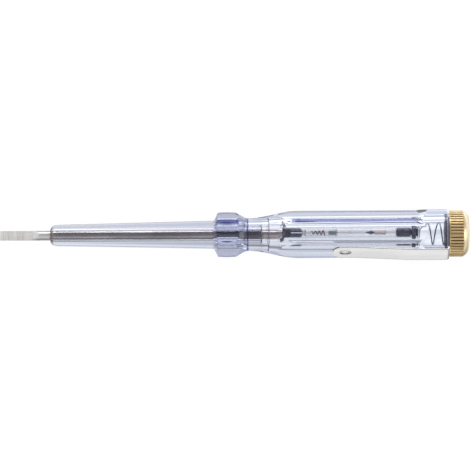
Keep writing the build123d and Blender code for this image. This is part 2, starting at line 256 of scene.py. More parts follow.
class Wire:
    """A socket of a material's nodes. Sums on it add Math nodes."""

    def __init__(self, tree, socket=None):
        self.tree = tree
        self.socket = socket

    def node(self, kind, settings=None, inputs=None, output=0):
        """The output of a new node, made with its settings first and its inputs after."""
        made = self.tree.nodes.new(kind)
        for key, value in (settings or {}).items():
            if key == "stops":
                ramp = made.color_ramp
                while len(ramp.elements) < len(value):
                    ramp.elements.new(0.5)
                for element, (place, colour) in zip(ramp.elements, value):
                    element.position = place
                    element.color = (*colour, 1)
            else:
                setattr(made, key, value)
        for key, value in (inputs or {}).items():
            if isinstance(value, Wire):
                self.tree.links.new(value.socket, made.inputs[key])
            else:
                made.inputs[key].default_value = value
        return Wire(self.tree, made.outputs[output])

    def sum_of(self, operation, first, second):
        return self.node("ShaderNodeMath", {"operation": operation}, {0: first, 1: second})

    def __add__(self, other):
        return self.sum_of("ADD", self, other)

    def __radd__(self, other):
        return self.sum_of("ADD", other, self)

    def __sub__(self, other):
        return self.sum_of("SUBTRACT", self, other)

    def __rsub__(self, other):
        return self.sum_of("SUBTRACT", other, self)

    def __mul__(self, other):
        return self.sum_of("MULTIPLY", self, other)

    def __rmul__(self, other):
        return self.sum_of("MULTIPLY", other, self)

    def __truediv__(self, other):
        return self.sum_of("DIVIDE", self, other)

    def at_least(self, least):
        return self.sum_of("MAXIMUM", self, least)

    def absolute(self):
        return self.node("ShaderNodeMath", {"operation": "ABSOLUTE"}, {0: self})

    def clamped(self):
        return self.node("ShaderNodeClamp", None, {0: self})

    def mixed(self, first, second):
        """Two colours mixed by this value."""
        return self.node("ShaderNodeMix", {"data_type": "RGBA"}, {0: self, 6: first, 7: second}, 2)


def rgb(r, g, b):
    """A colour as it is seen, 0 to 255, for a shader."""
    def linear(c):
        c /= 255
        return c / 12.92 if c <= 0.04045 else ((c + 0.055) / 1.055) ** 2.4
    return (linear(r), linear(g), linear(b), 1.0)


def new_tree(name):
    """A new material's nodes, empty, and the material."""
    made = bpy.data.materials.new(name)
    made.use_nodes = True
    made.node_tree.nodes.clear()
    return made, Wire(made.node_tree)


def finish_tree(tree, shader, inside=None):
    """Sets what the surface shows and what fills the solid."""
    out = tree.tree.nodes.new("ShaderNodeOutputMaterial")
    tree.tree.links.new(shader.socket, out.inputs["Surface"])
    if inside is not None:
        tree.tree.links.new(inside.socket, out.inputs["Volume"])


def own_place(tree):
    """The place on the object, along its own axes, in metres."""
    return tree.node("ShaderNodeTexCoord", None, None, "Object")


def coordinates(tree, place, count):
    """The first few coordinates of a place or a direction."""
    return [tree.node("ShaderNodeSeparateXYZ", None, {0: place}, i) for i in range(count)]


def past(x, place, steep):
    """Rises from 0 to 1 behind a place along the axis, or falls to 0 at it where steep is negative.

    The place is in millimetres from the blade's tip, and steep is the change in a millimetre.
    """
    return ((x - (AXIS_START.x + place * MM)) * (steep / MM)).clamped()


def mark(tree, name):
    """The value that mark_points stored on a piece's points."""
    return tree.node("ShaderNodeAttribute", {"attribute_name": name}, None, "Fac")


def ray(tree, kind):
    """1 for rays of one kind and 0 for the others."""
    return tree.node("ShaderNodeLightPath", None, None, f"Is {kind} Ray")


def stretched_noise(tree, scale, stretch, detail=4.0, roughness=0.6):
    """Noise along the object's own axes, in metres, stretched by three factors."""
    placed = tree.node("ShaderNodeMapping", None, {"Vector": own_place(tree), "Scale": stretch})
    return tree.node("ShaderNodeTexNoise", None,
                     {"Vector": placed, "Scale": scale, "Detail": detail, "Roughness": roughness})


def bumped(tree, height, strength, distance):
    """A surface that a height roughens, by at most a distance in millimetres."""
    return tree.node("ShaderNodeBump", None,
                     {"Height": height, "Strength": strength, "Distance": distance * MM})


# Painted shade for clear plastic seen edge-on, first the pale colour and then the deep one.
PALE_EDGE_SHADE, DEEP_EDGE_SHADE = (0.10, 0.11, 0.36, 1), (0.01, 0.013, 0.10, 1)
# How high the unevenness of a surface is, in millimetres.
WAVE_HEIGHT, MOTTLE_HEIGHT, GRAIN_HEIGHT = 0.2, 0.05, 0.03
ALL_WAYS, LENGTHWISE, CROSSWISE = (1, 1, 1), (0.2, 1, 1), (1, 0.2, 0.2)


def clear_plastic(name, ior, smooth, rough, wave, wave_scale, hue=None, density=0, painted_shade_colours=None):
    """Clear moulded plastic or glass, with faint flow waves and handling marks.

    A hue tints it the more, the deeper it is. With painted shade colours it shows painted shade
    marked on a piece's points: a violet tint where edges refract a dark room, and a dull dark surface.
    """
    made, tree = new_tree(name)
    tint = (1, 1, 1, 1)
    if painted_shade_colours:
        edge = mark(tree, "moulded_edge")
        tint = (edge * 2).clamped().mixed(tint, PALE_EDGE_SHADE)
        tint = (edge * 2 - 1).clamped().mixed(tint, DEEP_EDGE_SHADE)
    handled = stretched_noise(tree, 900, ALL_WAYS, 3)
    waves = stretched_noise(tree, wave_scale, (0.35, 1, 1), 2)
    body = tree.node("ShaderNodeBsdfPrincipled", None, {
        "Base Color": tint, "Roughness": (smooth + (handled - 0.5) * rough).clamped(),
        "IOR": ior, "Transmission Weight": 1.0,
        "Normal": bumped(tree, waves, wave, WAVE_HEIGHT)})
    # Painted shade: a dull dark surface mixed in where a piece is marked.
    if painted_shade_colours:
        dull = tree.node("ShaderNodeBsdfPrincipled", None, {
            "Base Color": ((handled - 0.3) * 2).clamped().mixed(*painted_shade_colours), "Roughness": 0.6})
        body = tree.node("ShaderNodeMixShader", None, {0: mark(tree, "grime"), 1: body, 2: dull})
    let_through = tree.node("ShaderNodeBsdfTransparent", None, {"Color": (0.97, 0.97, 0.98, 1)})
    surface = tree.node("ShaderNodeMixShader", None,
                        {0: ray(tree, "Shadow"), 1: body, 2: let_through})
    inside = None
    if density:
        inside = tree.node("ShaderNodeVolumeAbsorption", None, {"Color": hue, "Density": density})
    finish_tree(tree, surface, inside)
    return made


def surfaced(made, tree, colour, roughness, height, strength, metallic=1.0, depth=GRAIN_HEIGHT):
    """The material with its surface set, roughened by a height."""
    body = tree.node("ShaderNodeBsdfPrincipled", None, {
        "Base Color": colour, "Metallic": metallic, "Roughness": roughness.clamped(),
        "Normal": bumped(tree, height, strength, depth)})
    finish_tree(tree, body)
    return made


def drawn_metal(name, pale, dark, rough, grain_scale=900, stretch=ALL_WAYS, grain=0.1):
    """Metal with fine lines of drawing, grinding or turning, and duller patches."""
    made, tree = new_tree(name)
    lines = stretched_noise(tree, grain_scale, stretch, 5, 0.7)
    patches = stretched_noise(tree, 260, ALL_WAYS, 3)
    dull = ((patches - 0.45) * 3).clamped()
    colour = (dull * 0.3 + (lines - 0.5) * 0.6).clamped().mixed(pale, dark)
    roughness = rough + (lines - 0.5) * 0.18 + dull * 0.08
    return surfaced(made, tree, colour, roughness, lines, grain)


def probe_metal():
    """Drawn steel, ground bright at the blade, with painted shade: dark at the bare sides, brown under
    the sleeve.
    """
    made, tree = new_tree("probe steel")
    lines = stretched_noise(tree, 500, (0.12, 1, 1), 5, 0.7)
    scratches = stretched_noise(tree, 900, (1, 0.1, 0.1), 4)
    x, y = coordinates(tree, own_place(tree), 2)
    off_axis = (y - AXIS_START.y).absolute()
    covered = past(x, SLEEVE_FRONT - 0.5, 0.9)
    blade = past(x, BLADE_END + 0.3, -3.0)
    bare = (1 - blade) * (1 - covered)
    in_guard = past(x, GRIP_FRONT - 0.6, 0.9) * past(x, SLEEVE_REAR + 0.7, -0.9)
    # Painted shade: the bare shaft's sides, as seen from above, are darker.
    painted_side_shade = ((off_axis - 0.95 * MM) * (3.5 / MM)).clamped() * past(x, BLADE_END - 2.0, 0.5)
    worn = (blade * (scratches - 0.5) * 2.4 + lines - 0.3).clamped()
    bright = worn.mixed(rgb(230, 229, 226), rgb(186, 184, 181))
    bright = painted_side_shade.mixed(bright, rgb(150, 149, 147))
    # Painted shade under the sleeve: brown, and darker still inside the guard.
    brown = ((lines - 0.3) * 2).clamped().mixed(rgb(206, 198, 193), rgb(126, 117, 113))
    brown = (in_guard * 0.85).mixed(brown, rgb(72, 68, 78))
    roughness = 0.18 + covered * 0.02 + blade * 0.44 + (lines - 0.5) * 0.15
    height = lines * (1 - blade) + scratches * blade
    metallic = 1 - blade * 0.6 - bare * 0.4
    return surfaced(made, tree, covered.mixed(bright, brown), roughness, height, 0.3, metallic)


def knurled_brass():
    """Brass, pale on the lands, brown in the pores; painted highlight on the dome, painted shade in the
    grooves.
    """
    made, tree = new_tree("knurled brass")
    lines = stretched_noise(tree, 700, LENGTHWISE, 4)
    patches = stretched_noise(tree, 420, ALL_WAYS, 4)
    groove = mark(tree, "groove")
    x = coordinates(tree, own_place(tree), 1)[0]
    dome = past(x, KNURL_REAR - 0.22, 1.4)
    aged = ((patches - 0.5) * 1.6 + 0.25).clamped()
    land = aged.mixed(rgb(240, 214, 160), rgb(214, 178, 118))
    # Painted highlight: the dome is paler.
    land = (dome * 0.8).mixed(land, rgb(252, 240, 206))
    # Painted shade: the knurl's grooves are brown.
    colour = (groove * 1.1).clamped().mixed(land, rgb(112, 78, 40))
    roughness = 0.33 + groove * 0.22 + (lines - 0.5) * 0.16 + aged * 0.05
    return surfaced(made, tree, colour, roughness, lines, 0.25)


def clip_metal():
    """Nickel plate with fine lines along the strip, and dull dark painted shade where the clip is
    marked.
    """
    made, tree = new_tree("nickel plated clip")
    lines = stretched_noise(tree, 420, (0.12, 1, 1), 5, 0.7)
    painted_clip_shade = mark(tree, "grime")
    plate = ((lines - 0.5) * 0.8 + 0.2).clamped().mixed(rgb(232, 231, 228), rgb(205, 204, 201))
    roughness = 0.26 + (lines - 0.5) * 0.16 + painted_clip_shade * 0.3
    # Painted shade: marked places turn dull and dark grey.
    return surfaced(made, tree, painted_clip_shade.mixed(plate, rgb(98, 95, 106)), roughness, lines, 0.12)


def lacquer(name, pale, dark, rough, scale):
    """A lacquer with slight mottling."""
    made, tree = new_tree(name)
    mottle = stretched_noise(tree, scale, ALL_WAYS, 4)
    colour = ((mottle - 0.3) * 2).clamped().mixed(pale, dark)
    roughness = rough + (mottle - 0.5) * 0.2
    return surfaced(made, tree, colour, roughness, mottle, 0.1, 0.0, MOTTLE_HEIGHT)


# The last two colours of the grip and the sleeve are painted shade.
clear_grip = clear_plastic("clear grip plastic", ior=1.49, smooth=0.015, rough=0.03, wave=0.10,
                           wave_scale=120, hue=(0.45, 0.60, 0.98, 1), density=38,
                           painted_shade_colours=(rgb(112, 106, 124), rgb(72, 68, 84)))
clear_sleeve = clear_plastic("clear sleeve plastic", ior=1.49, smooth=0.02, rough=0.04, wave=0.12,
                             wave_scale=140, hue=(0.45, 0.54, 0.80, 1), density=70,
                             painted_shade_colours=(rgb(124, 116, 110), rgb(78, 70, 64)))
tube_plastic = clear_plastic("clear tube", ior=1.49, smooth=0.01, rough=0.02, wave=0.05,
                             wave_scale=200)
lamp_glass = clear_plastic("lamp glass", ior=1.5, smooth=0.0, rough=0.01, wave=0.08, wave_scale=300)
probe_steel = probe_metal()
contact_plate = drawn_metal("browned contact", rgb(96, 96, 110), rgb(52, 52, 64), rough=0.4,
                            stretch=CROSSWISE, grain=0.2)
dish_metal = drawn_metal("browned dish", rgb(76, 76, 84), rgb(44, 44, 50), rough=0.45,
                         stretch=CROSSWISE, grain=0.2)
lead_metal = drawn_metal("tinned lead wire", rgb(230, 230, 232), rgb(186, 186, 190), rough=0.3,
                         stretch=LENGTHWISE)
copper_metal = drawn_metal("copper coated wire", rgb(132, 88, 96), rgb(70, 44, 54), rough=0.35)
electrode_metal = drawn_metal("electrode sheet", rgb(150, 160, 158), rgb(98, 108, 108), rough=0.42,
                              stretch=(0.3, 1, 1))
solder_metal = drawn_metal("dull solder", rgb(104, 104, 108), rgb(52, 52, 56), rough=0.45,
                           grain_scale=700, grain=0.3)
resistor_lacquer = lacquer("resistor lacquer", rgb(226, 208, 202), rgb(196, 176, 170), rough=0.22,
                           scale=600)
spring_steel = drawn_metal("spring wire", rgb(128, 128, 134), rgb(66, 66, 72), rough=0.3,
                           grain_scale=1200)
clip_nickel = clip_metal()
cap_brass = knurled_brass()


# The grip

SLEEVE_RADIUS = 4.2
WAIST, WAIST_RADIUS = 74.3, 4.86
BARREL_FRONT, BARREL_RADIUS = 89.0, 7.08
SWELL_FRONT, SWELL_REAR, SWELL_RADIUS = 122.4, 128.4, 7.3
# The flats lie this far from the axis, and run out through a bend into a ramp.
GUARD_FLAT, GRIP_FLAT, FLAT_REAR = 6.0, 6.25, 124.3
RUNOUT_BEND, RUNOUT_SLOPE = 2.0, 0.4
THREAD_FRONT, THREAD_REAR = 133.9, 137.5
THREAD_PITCH, THREAD_ROOT, THREAD_CREST = 1.0, 4.95, 5.24
BORE_STEP, BORE_FRONT, BORE_REAR, TAIL_BORE = 80.4, 3.4, 3.95, 2.95


def flat_height(x):
    """How far the six flats lie from the axis."""
    if x < WAIST:
        return GUARD_FLAT
    beyond = x - FLAT_REAR
    if beyond <= 0:
        return GRIP_FLAT
    bend = RUNOUT_SLOPE * RUNOUT_BEND / 2
    if beyond <= 2 * bend:
        return GRIP_FLAT + beyond ** 2 / (2 * RUNOUT_BEND)
    return GRIP_FLAT + (beyond - bend) * RUNOUT_SLOPE


def flare_outline():
    """The outline from the waist out to the barrel: two cubics that share a slope at a knot."""
    waist, knot, barrel = (WAIST, WAIST_RADIUS), (80.621, 5.77), (BARREL_FRONT, BARREL_RADIUS)
    front, rear = knot[0] - waist[0], barrel[0] - knot[0]
    front_slope, rear_slope = (knot[1] - waist[1]) / front, (barrel[1] - knot[1]) / rear
    slope = 1.5 * (front_slope * rear + rear_slope * front) / (front + rear)
    return hermite(waist, knot, 0, slope, 26) + hermite(knot, barrel, slope, 0, 44)[1:]


def grip_outline():
    """The grip's outer outline from the guard to the face under the clip's ring."""
    guard_front, guard_crown, guard_back = (65.0, 6.58), (67.7, 6.72), (70.4, 6.58)
    guard_foot, foot_slope = (72.19, 5.55), -0.62
    corner_start, corner_middle, corner_end = (133.0, SWELL_RADIUS), (133.22, 7.22), (GRIP_REAR, 7.0)
    outline = spread((GRIP_FRONT, SLEEVE_RADIUS), guard_front, 14)
    outline += arc_through(guard_front, guard_crown, guard_back, 18)[1:]
    outline += spread(guard_back, guard_foot, 10)[1:]
    outline += hermite(guard_foot, (WAIST, WAIST_RADIUS), foot_slope, 0, 10)[1:]
    outline += flare_outline()[1:]
    outline += spread((BARREL_FRONT, BARREL_RADIUS), (SWELL_FRONT, BARREL_RADIUS), 24)[1:]
    outline += hermite((SWELL_FRONT, BARREL_RADIUS), (SWELL_REAR, SWELL_RADIUS), 0, 0, 40)[1:]
    outline += spread((SWELL_REAR, SWELL_RADIUS), corner_start, 10)[1:]
    outline += arc_through(corner_start, corner_middle, corner_end, 4)[1:]
    return outline + [(GRIP_REAR, 5.6)]


def bore_radius(x):
    """The bore behind its step, which widens a little to the rear."""
    return BORE_FRONT + (BORE_REAR - BORE_FRONT) * (x - BORE_STEP) / (NECK_REAR - BORE_STEP)


def grip_ring(x, radius, level):
    """One ring round the grip: flats where they cut the turned outline, round between."""
    sector, soft_angle, soft_depth = math.pi / 3, 0.04, 0.1
    cut = math.acos(level / radius) if radius > level else 0.0
    edge = min(soft_angle, cut)
    flat_end, round_start = max(cut - edge, 0.0), cut + edge
    round_end, next_flat = sector - round_start, sector - flat_end
    angles = evenly(-flat_end, flat_end, 8) + evenly(flat_end, round_start, 4)[1:]
    angles += evenly(round_start, round_end, 8)[1:] + evenly(round_end, next_flat, 4)[1:-1]
    ring = []
    for number in range(6):
        for angle in angles:
            near = (angle + sector / 2) % sector - sector / 2
            flat = level / math.cos(near)
            blend = clamp(0.5 + 0.5 * (flat - radius) / soft_depth)
            r = flat * (1 - blend) + radius * blend - soft_depth * blend * (1 - blend)
            ring.append(about_axis(x, r, number * sector + angle + math.pi / 2))
    return ring


def thread_height(x, turn):
    """The neck's right-hand thread, faded out at both ends."""
    phase = ((x - THREAD_FRONT) / THREAD_PITCH - turn / math.tau) % 1.0
    ridge = clamp(1.6 - abs(phase - 0.5) * 4.4)
    fade = clamp((x - THREAD_FRONT) / 0.4) * clamp((THREAD_REAR - x) / 0.5)
    return THREAD_ROOT + (THREAD_CREST - THREAD_ROOT) * ridge * fade


def make_grip():
    """The clear grip with its guard, flats, bore and threaded neck."""
    rings = [grip_ring(x, r, flat_height(x)) for x, r in grip_outline()]
    count = len(rings[0])
    turns = [math.tau * j / count + math.pi / 2 for j in range(count)]
    neck = [(GRIP_REAR, THREAD_CREST), (133.84, THREAD_CREST)]
    rings += [[about_axis(x, r, turn) for turn in turns] for x, r in neck]
    for x in evenly(THREAD_FRONT, THREAD_REAR, 45):
        rings.append([about_axis(x, thread_height(x, turn), turn) for turn in turns])

    # The bore's rings lie close together where a painted shade mark starts or ends, which keeps its
    # edge sharp.
    before_cap = [134.3, 134.1, 134.0, 132.6, 132.4, 132.3, 132.1]
    barrel = [128.0, 118.0, 108.0, 98.0, 88.0]
    by_dish = [85.7, 85.5, 85.2, 84.9, 84.6, 84.35, 84.2, BORE_STEP + 0.16]
    inside = [(NECK_REAR, 4.85), (NECK_REAR, 4.0), (NECK_REAR - 0.08, BORE_REAR)]
    inside += [(x, bore_radius(x)) for x in before_cap + barrel + by_dish]
    inside += [(BORE_STEP + 0.1, BORE_FRONT), (BORE_STEP + 0.05, BORE_FRONT),
               (BORE_STEP, BORE_FRONT - 0.04), (BORE_STEP, TAIL_BORE + 0.03),
               (BORE_STEP - 0.04, TAIL_BORE), (BORE_STEP - 0.16, TAIL_BORE), (72.0, TAIL_BORE),
               (GRIP_FRONT + 0.06, TAIL_BORE), (GRIP_FRONT, TAIL_BORE + 0.04)]
    rings += [[about_axis(x, r, turn) for turn in turns] for x, r in inside]
    grip = piece("clear_grip", *lofted(rings, closed=True), "tester", ["grip"], clear_grip)
    mark_points(grip, "moulded_edge", edge_shade_depth)
    mark_points(grip, "grime", bore_shade_depth)


def mark_points(made, name, value_at):
    """Stores a value for each point of a piece, from its place along and about the axis."""
    values = []
    for vertex in made.data.vertices:
        x, y, z = (vertex.co - AXIS_START) / MM
        values.append(value_at(x, math.hypot(y, z), math.degrees(math.atan2(z, y))))
    made.data.attributes.new(name, "FLOAT", "POINT").data.foreach_set("value", values)


def edge_shade_depth(x, r, turn):
    """How deep painted shade shows in the guard, in the neck and where flats meet, as a violet tint.

    The ridges between the flats lie at whole multiples of 60 degrees.
    """
    inside, guard_back, ridge_front, ridge_rear = 4.6, 73.2, 86.5, 127.0
    if r < inside or x > ridge_rear or x < GRIP_FRONT + 0.4:
        return 0.0
    off_ridge = abs((turn + 30) % 60 - 30)
    ridge = clamp((5.5 - off_ridge) / 2.5)
    upper = 50 < turn < 70
    if x < guard_back:
        # Painted shade in the guard: a dark violet strip on the upper ridge over a faint tint.
        lens = clamp((7.5 - off_ridge) / 3) if upper else ridge * 0.2
        return max(lens * clamp((71.5 - x) / 0.6), 0.23 if -20 < turn < 90 else 0.17)
    if x < ridge_front:
        return neck_shade_depth(x, turn)
    # Painted shade along the ridges between the flats, deepest on the upper ridge.
    along = clamp((x - ridge_front) / 0.8) * clamp((ridge_rear - x) / 3)
    return ridge * along * (0.56 if upper else 0.15) * (1.0 if x < 91.2 else 0.85)


def neck_shade_depth(x, turn):
    """How deep painted shade shows in the neck: a dark line at the guard's foot, then a faint haze."""
    if 73.6 < x < 73.95:
        return 0.62 if -60 < turn < 80 else 0.5
    return 0.06 if x < SLEEVE_REAR + 0.2 else 0.0


def bore_shade_depth(x, r, turn):
    """How dark painted shade makes the bore: at its step, at the dish's front rim, and just in front of
    the cap.
    """
    if r > 4.0:
        return 0.0
    if x < 82:
        return 0.85 if BORE_STEP - 0.1 < x < BORE_STEP + 0.12 else 0.0
    if x < 85.6:
        # Painted shade where the dish's dark rim shows through the bore, on its upper side.
        dish_shade_front = DISH_FRONT + 0.05
        dish_shade = 26 < turn < 62 and dish_shade_front < x < dish_shade_front + (turn - 22) / 32
        return 0.9 if dish_shade else 0.0
    return 0.85 * clamp((x - 132.45) / 0.15) * clamp((134.2 - x) / 0.2)


# The sleeve

def make_sleeve():
    """The clear tapered sleeve with its rounded nose and its tail in the grip."""
    bore, tail, chamfer = 1.51, 2.9, 0.06
    nose_length, nose_inner, nose_outer = 2.3, 1.66, 3.21
    outline = [(SLEEVE_REAR, bore), (SLEEVE_REAR - 0.25, bore), (46.0, bore),
               (SLEEVE_FRONT + 1.2, bore), (SLEEVE_FRONT + chamfer, bore),
               (SLEEVE_FRONT, bore + chamfer)]
    for bend in evenly(0, math.pi / 2, 16):
        outline.append((SLEEVE_FRONT + nose_length * (1 - math.cos(bend)),
                        nose_inner + (nose_outer - nose_inner) * math.sin(bend)))
    outline += spread((SLEEVE_FRONT + nose_length, nose_outer), (GRIP_FRONT, SLEEVE_RADIUS), 24)[1:]
    outline += [(GRIP_FRONT, SLEEVE_RADIUS - 0.1), (GRIP_FRONT, tail + 0.1),
                (GRIP_FRONT + chamfer, tail), (71.0, tail), (SLEEVE_REAR - 0.25, tail),
                (SLEEVE_REAR - chamfer, tail), (SLEEVE_REAR, tail - chamfer),
                (SLEEVE_REAR, bore + chamfer)]
    points, faces = turned(outline, 128, closed=True)
    sleeve = piece("clear_sleeve", points, faces, "tester", ["shaft_sleeve"], clear_sleeve)
    mark_points(sleeve, "grime", rim_shade_depth)


def rim_shade_depth(x, r, turn):
    """How dark painted shade makes the sleeve's rims, at its nose and at its end inside the grip."""
    if x > SLEEVE_REAR - 0.2:
        return 0.8
    return 0.65 * clamp((SLEEVE_FRONT + 1.1 - x) / 0.5)


# The probe

SHAFT_RADIUS = 1.45
BLADE_FLAT, BLADE_HALF_WIDTH = 7.2, 1.4
TIP_HALF_THICKNESS, FLAT_HALF_THICKNESS = 0.3, 0.55


def blade_half_thickness(x):
    """Half the blade's thickness: a slow taper, then an arc out to the round shaft."""
    taper = FLAT_HALF_THICKNESS - TIP_HALF_THICKNESS
    if x <= BLADE_FLAT:
        return TIP_HALF_THICKNESS + taper * x / BLADE_FLAT
    if x >= BLADE_END:
        return SHAFT_RADIUS
    # The arc leaves the taper along its slope and ends at the shaft's radius.
    slant = math.hypot(BLADE_FLAT, taper)
    along, up = BLADE_FLAT / slant, taper / slant
    length, climb = BLADE_END - BLADE_FLAT, SHAFT_RADIUS - FLAT_HALF_THICKNESS
    radius = (length ** 2 + climb ** 2) / (2 * (along * climb - up * length))
    centre_x, centre_height = BLADE_FLAT - up * radius, FLAT_HALF_THICKNESS + along * radius
    return centre_height - math.sqrt(radius ** 2 - (x - centre_x) ** 2)


def probe_ring(x):
    """A section of the probe, from the blade's bevelled tip to the round shaft."""
    bevel = 1 - clamp(x / 0.25)
    high = min(blade_half_thickness(x), SHAFT_RADIUS) - 0.05 * bevel
    width = (BLADE_HALF_WIDTH if x < BLADE_FLAT else SHAFT_RADIUS) - 0.1 * bevel
    lift = math.asin(high / SHAFT_RADIUS)
    reach = min(width, math.sqrt(max(SHAFT_RADIUS ** 2 - high ** 2, 0)))
    half = [(y, high) for y in evenly(-reach, reach, 12)[:-1]]
    for angle in evenly(lift, -lift, 16)[:-1]:
        half.append((min(width, SHAFT_RADIUS * math.cos(angle)), SHAFT_RADIUS * math.sin(angle)))
    return [(x, way * y, way * z) for way in (1, -1) for y, z in half]


def make_probe():
    """The steel shaft with its ground blade."""
    stations = [0.0, 0.08, 0.25] + evenly(0.6, 6.9, 21) + [BLADE_FLAT - 0.05, BLADE_FLAT + 0.05]
    stations += evenly(7.5, 11.3, 19) + [BLADE_END, 13.0, 15.0, 25.0, 45.0, 65.0, PROBE_REAR - 0.1]
    rings = [probe_ring(x) for x in stations]
    rings.append([(PROBE_REAR, y * 0.93, z * 0.93) for _, y, z in rings[-1]])
    piece("steel_probe", *lofted(rings), "tester", ["blade_shaft"], probe_steel)


# The train inside the grip

TUBE_RADIUS, TUBE_BORE, SPIGOT_RADIUS = 2.15, 1.85, 1.82
LEAD_RADIUS = 0.13


def make_dish():
    """The dished contact that the probe's end rests in."""
    hub = 2.2
    outline = [(PROBE_REAR, 0), (PROBE_REAR, 1.95), (DISH_FRONT, 2.6), (DISH_FRONT, 2.85),
               (DISH_FRONT + 0.85, hub), (DISH_REAR - TOUCH, hub), (DISH_REAR - TOUCH, 0)]
    inner_piece("dish_contact", outline, "contact_dish", dish_metal)


def end_outline(end, face, groove, shoulder, spigot):
    """An end of the cartridge: its face, a rolled groove, and the spigot inside the tube."""
    way = math.copysign(1, spigot - end)
    chamfer, dip = 0.15, 0.2
    return [(face, 0), (face, TUBE_RADIUS - chamfer), (end + chamfer * way, TUBE_RADIUS),
            (groove - dip * way, TUBE_RADIUS), (groove, TUBE_RADIUS - dip),
            (groove + dip * way, TUBE_RADIUS), (shoulder, TUBE_RADIUS),
            (shoulder, SPIGOT_RADIUS), (spigot, SPIGOT_RADIUS), (spigot, 0)]


def make_cartridge():
    """The clear tube with its two metal ends, of which the front one is split into prongs."""
    front, spigot = ends("front_ferrule")
    outline = end_outline(front, front, 88.27, TUBE_FRONT, spigot)
    front_end = inner_piece("cartridge_front_end", outline, "front_ferrule", contact_plate)
    cut_slot(front_end, 86.78, 0.65)
    spigot, rear = ends("rear_ferrule")
    outline = end_outline(rear, rear - TOUCH, 120.1, TUBE_REAR, spigot)
    inner_piece("cartridge_rear_end", outline, "rear_ferrule", contact_plate)
    front, rear = TUBE_FRONT + TOUCH, TUBE_REAR - TOUCH
    wall = [(front, TUBE_RADIUS), (rear, TUBE_RADIUS), (rear, TUBE_BORE), (front, TUBE_BORE)]
    points, faces = turned(wall, 96, TRAIN_Y, TRAIN_Z, closed=True)
    piece("cartridge_wall", points, faces, "tester", ["cartridge_tube"], tube_plastic)


def cut_slot(contact, front, width):
    """Splits a turned contact into two prongs behind a place, with a slot that leans."""
    length, half_height, slope = 6, 3, 0.17
    low = in_frame((front, TRAIN_Y - width / 2, TRAIN_Z - half_height))
    high = in_frame((front + length, TRAIN_Y + width / 2, TRAIN_Z + half_height))
    lean = slope * half_height * MM
    corners = [(x, y + tilt, z) for x in (low.x, high.x) for y in (low.y, high.y)
               for z, tilt in ((low.z, lean), (high.z, -lean))]
    mesh = bpy.data.meshes.new("slot")
    mesh.from_pydata(corners, [], [(0, 1, 3, 2), (4, 6, 7, 5), (0, 4, 5, 1), (2, 3, 7, 6),
                                   (0, 2, 6, 4), (1, 5, 7, 3)])
    cutter = in_scene("slot", mesh)
    cut = contact.modifiers.new("slot", "BOOLEAN")
    cut.object = cutter
    cut.operation = "DIFFERENCE"
    cut.solver = "EXACT"
    bpy.context.view_layer.update()
    seen = bpy.context.evaluated_depsgraph_get()
    contact.data = bpy.data.meshes.new_from_object(contact.evaluated_get(seen))
    contact.modifiers.clear()
    bpy.data.objects.remove(cutter)
    bpy.data.meshes.remove(mesh)


def make_glass():
    """The neon lamp's glass: a bulb that narrows into a pip behind, and the hollow in the bulb."""
    front, rear = ends("lamp_glass")
    bulb, bulb_rear = 1.65, 100.5
    outside = [(front, 0), (front, 1.0)]
    outside += arc_through((front, 1.15), (90.35, 1.5), (90.7, bulb), 8)
    outside += [(bulb_rear - 0.3, bulb)]
    outside += arc_through((100.3, 1.64), (100.44, 1.58), (bulb_rear, 1.44), 5)
    outside += [(bulb_rear, 0.62)]
    outside += arc_through((bulb_rear, 0.6), (102.22, 1.0), (rear - 0.1, 0.38), 18)
    outside += [(rear, 0.2), (rear, 0)]

    hollow, hollow_front, hollow_rear = 1.4, 90.8, 100.2
    inside = [(hollow_rear, 0), (hollow_rear, 1.2)]
    inside += arc_through((100.1, 1.36), (100.02, hollow), (99.9, hollow), 4)
    inside += [(91.1, hollow), (90.85, 1.2), (hollow_front, 0.9), (hollow_front, 0)]
    shells = [turned(outline, 72, TRAIN_Y, TRAIN_Z) for outline in (outside, inside)]
    glass = piece("neon_lamp", *joined(*shells), "tester", ["lamp_glass"], lamp_glass)
    turn_hollow_inwards(glass, hollow_front, hollow_rear, hollow)


def turn_hollow_inwards(glass, front, rear, radius):
    """Reverses the faces round a hollow, so that the glass lies behind them."""
    spare = 0.05
    work = bmesh.new()
    work.from_mesh(glass.data)
    inner = []
    for face in work.faces:
        x, y, z = (face.calc_center_median() - AXIS_START) / MM
        off_line = math.hypot(y - TRAIN_Y, z - TRAIN_Z)
        if front - spare < x < rear + spare and off_line < radius + spare:
            inner.append(face)
    bmesh.ops.reverse_faces(work, faces=inner)
    work.to_mesh(glass.data)
    work.free()


def lead_wire(node, steps, side=0.0):
    """A straight lead wire where a CAD node lies."""
    path = [(x, TRAIN_Y + side, TRAIN_Z) for x in evenly(*ends(node), steps)]
    return tube_along(path, LEAD_RADIUS)


def make_leads():
    """The lamp's two front leads, the one through its pip, and the resistor's."""
    apart = 0.35
    pair = [lead_wire("lamp_front_leads", 3, side) for side in (-apart, apart)]
    piece("lamp_leads", *joined(*pair), "tester", ["lamp_front_leads"], lead_metal)
    piece("pip_lead", *lead_wire("lamp_rear_lead", 3), "tester", ["lamp_rear_lead"], lead_metal)
    piece("resistor_wire", *lead_wire("resistor_lead", 2), "tester", ["resistor_lead"], lead_metal)


